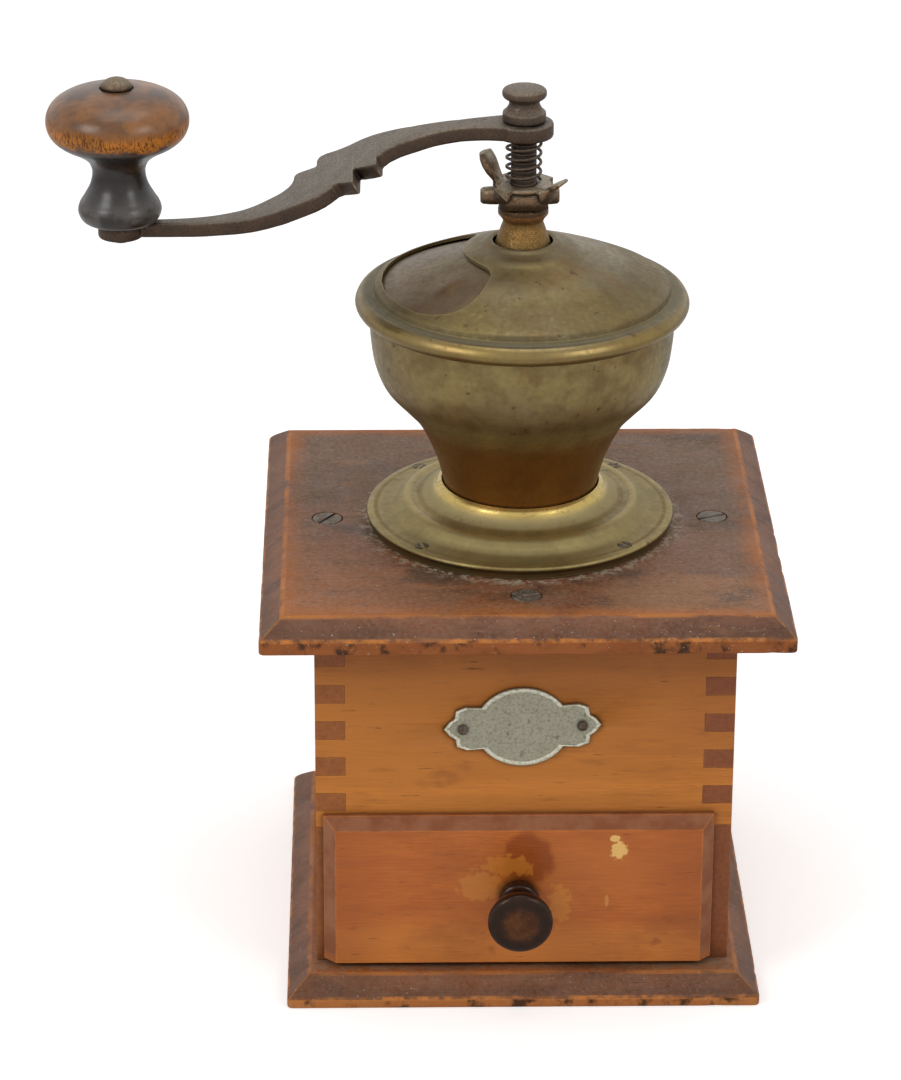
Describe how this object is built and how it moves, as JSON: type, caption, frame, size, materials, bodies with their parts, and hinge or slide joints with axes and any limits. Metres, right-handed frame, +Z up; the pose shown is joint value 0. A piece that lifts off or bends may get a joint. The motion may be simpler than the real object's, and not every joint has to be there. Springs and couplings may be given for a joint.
{
  "type": "manual coffee grinder",
  "caption": "Hand-cranked box coffee mill: comb-jointed wooden box with a drawer, brass hopper with a shuttered lid, conical burrs and an S-bent crank with a turned knob.",
  "frame": {"origin": "on the spindle's axis, at the underside of the base board", "axes": "+Z up along the spindle, -Y towards the drawer's front, -X towards the crank's knob at rest"},
  "size_m": [0.2095, 0.1541, 0.259],
  "materials": {
    "oiled_beech": "old oiled beech, honey orange, worn at its edges",
    "stained_beech": "dark brown stain, dusty, rubbed through at its edges",
    "ebonised_wood": "turned and stained black, polished",
    "turned_handle_wood": "turned and varnished, worn to bare wood round its rim",
    "aged_brass": "spun sheet, dull and spotted with age",
    "bearing_bronze": "cast and turned, coppery and pitted",
    "dark_iron": "forged and cast, rust brown",
    "screw_steel": "dull steel with slots",
    "stamped_zinc": "stamped sheet, grey, with a lighter rim"
  },
  "bodies": {
    "mill": {"base_board": "stained_beech", "top_board": "stained_beech", "front_panel": "oiled_beech", "back_panel": "oiled_beech", "left_side": "oiled_beech", "right_side": "oiled_beech", "base_flange": "aged_brass", "hopper_bowl": "aged_brass", "lid": "aged_brass", "bearing_bridge": "bearing_bronze", "burr_ring": "dark_iron", "lower_bearing_bar": "dark_iron", "name_plate": "stamped_zinc", "plate_nail_left": "screw_steel", "plate_nail_right": "screw_steel", "board_screw_left": "screw_steel", "board_screw_right": "screw_steel", "board_screw_front": "screw_steel", "board_screw_back": "screw_steel", "base_screw_left_front": "screw_steel", "base_screw_left_back": "screw_steel", "base_screw_right_front": "screw_steel", "base_screw_right_back": "screw_steel", "flange_screw_1": "screw_steel", "flange_screw_2": "screw_steel", "flange_screw_3": "screw_steel", "flange_screw_4": "screw_steel", "bridge_screw_left": "screw_steel", "bridge_screw_right": "screw_steel", "bar_screw_left": "screw_steel", "bar_screw_right": "screw_steel"},
    "drawer": {"drawer_front": "oiled_beech", "drawer_left_side": "oiled_beech", "drawer_right_side": "oiled_beech", "drawer_back": "oiled_beech", "drawer_bottom": "oiled_beech", "drawer_knob": "ebonised_wood", "drawer_knob_screw": "screw_steel"},
    "shutter": {"lid_shutter": "aged_brass"},
    "crank": {"spindle": "dark_iron", "burr_cone": "dark_iron", "adjusting_nut": "dark_iron", "lock_spring": "dark_iron", "crank_arm": "dark_iron", "crank_nut": "dark_iron", "crank_knob_pin": "dark_iron"},
    "lock": {"lock_plate": "dark_iron"},
    "handle": {"crank_knob": "turned_handle_wood"}
  },
  "joints": [
    {"name": "crank_turn", "type": "hinge", "parent": "mill", "child": "crank", "pos_m": [0, 0, 0.2], "axis": [0, 0, 1], "continuous": true},
    {"name": "crank_knob_spin", "type": "hinge", "parent": "crank", "child": "handle", "pos_m": [-0.1143, 0, 0.23], "axis": [0, 0, 1], "continuous": true},
    {"name": "drawer_slide", "type": "slide", "parent": "mill", "child": "drawer", "axis": [0, -1, 0], "range_m": [0, 0.085]},
    {"name": "shutter_turn", "type": "hinge", "parent": "mill", "child": "shutter", "pos_m": [0, 0, 0.2], "axis": [0, 0, -1], "range_deg": [0, 70]},
    {"name": "lock_plate_lift", "type": "slide", "parent": "crank", "child": "lock", "axis": [0, 0, 1], "range_m": [0, 0.003], "stiffness_N_per_m": 600, "springref_m": -0.003, "deforming": ["lock_spring"]}
  ]
}
